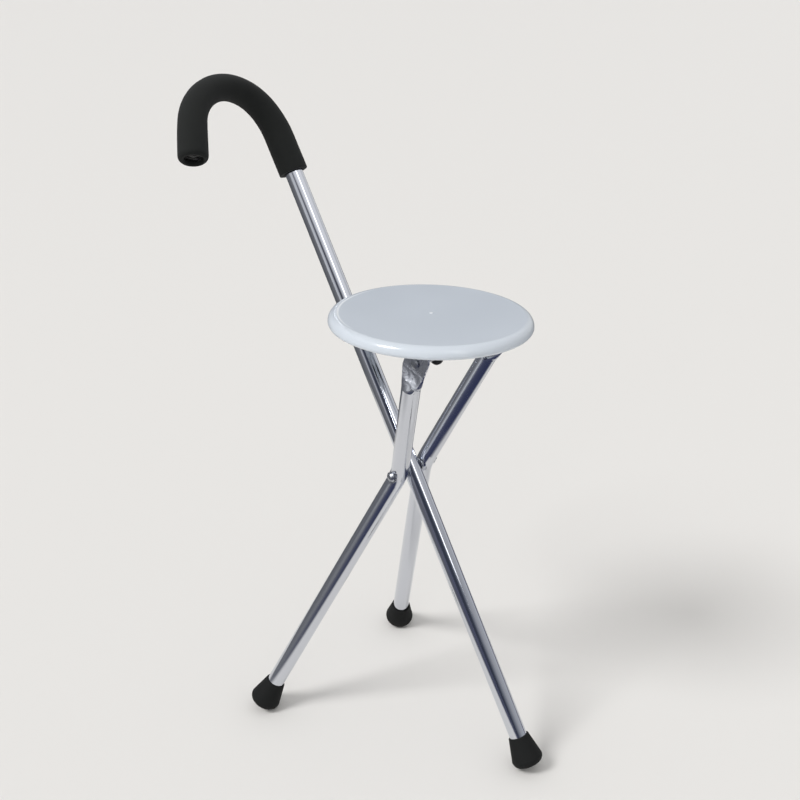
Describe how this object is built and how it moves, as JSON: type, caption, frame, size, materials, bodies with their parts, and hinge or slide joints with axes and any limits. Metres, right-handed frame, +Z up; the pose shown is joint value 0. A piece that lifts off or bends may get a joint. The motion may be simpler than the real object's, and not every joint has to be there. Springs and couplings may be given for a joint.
{
  "type": "walking stick seat",
  "caption": "Folding walking stick seat: a crook-handled tube crossed by two short splayed legs that carry a round moulded seat.",
  "frame": {"origin": "on the floor, under the middle of the bounding box of the opened stool", "axes": "+Z up; the shaft leans back towards -X and its foot stands at +X; the crook bends towards -Y; the left short leg is at -Y"},
  "size_m": [0.4906, 0.3235, 0.7967],
  "materials": {
    "anodised_tube": "bright drawn tube, clear anodised",
    "grip_foam": "matt black closed-cell foam, fine leathery skin",
    "black_plastic": "satin black moulding",
    "ferrule_rubber": "matt black rubber",
    "zinc_steel": "bright zinc plate",
    "nylon": "black nylon",
    "seat_plastic": "pale blue-grey moulding, semi-gloss",
    "bracket_steel": "black painted pressed steel"
  },
  "bodies": {
    "cane": {"cane_tube": "anodised_tube", "foam_grip": "grip_foam", "grip_end_plug": "black_plastic", "cane_hub_bush": "nylon", "catch_pin": "zinc_steel", "cane_ferrule": "ferrule_rubber", "cane_ferrule_disc": "zinc_steel"},
    "legs": {"left_leg_tube": "anodised_tube", "right_leg_tube": "anodised_tube", "left_ferrule": "ferrule_rubber", "right_ferrule": "ferrule_rubber", "left_ferrule_disc": "zinc_steel", "right_ferrule_disc": "zinc_steel", "hub_bolt": "zinc_steel", "hub_nut": "zinc_steel", "hub_washers": "zinc_steel", "hub_spacers": "zinc_steel"},
    "seat": {"seat_shell": "seat_plastic", "left_hinge_bracket": "bracket_steel", "right_hinge_bracket": "bracket_steel", "hinge_screws": "zinc_steel", "left_hinge_pin": "zinc_steel", "right_hinge_pin": "zinc_steel", "hinge_washers": "nylon", "hinge_clips": "zinc_steel", "catch_bracket": "bracket_steel", "catch_screws": "zinc_steel"}
  },
  "joints": [
    {"name": "leg_fold", "type": "hinge", "parent": "cane", "child": "legs", "pos_m": [0.02777, 0.00841, 0.344], "axis": [0, -1, 0], "range_deg": [0, 51.9]},
    {"name": "seat_tilt", "type": "hinge", "parent": "legs", "child": "seat", "pos_m": [0.09426, 0.00841, 0.52], "axis": [0, 1, 0], "range_deg": [0, 110.8]}
  ],
  "couplings": [
    {"joint": "seat_tilt", "follows": "leg_fold", "ratio": 2.133}
  ]
}
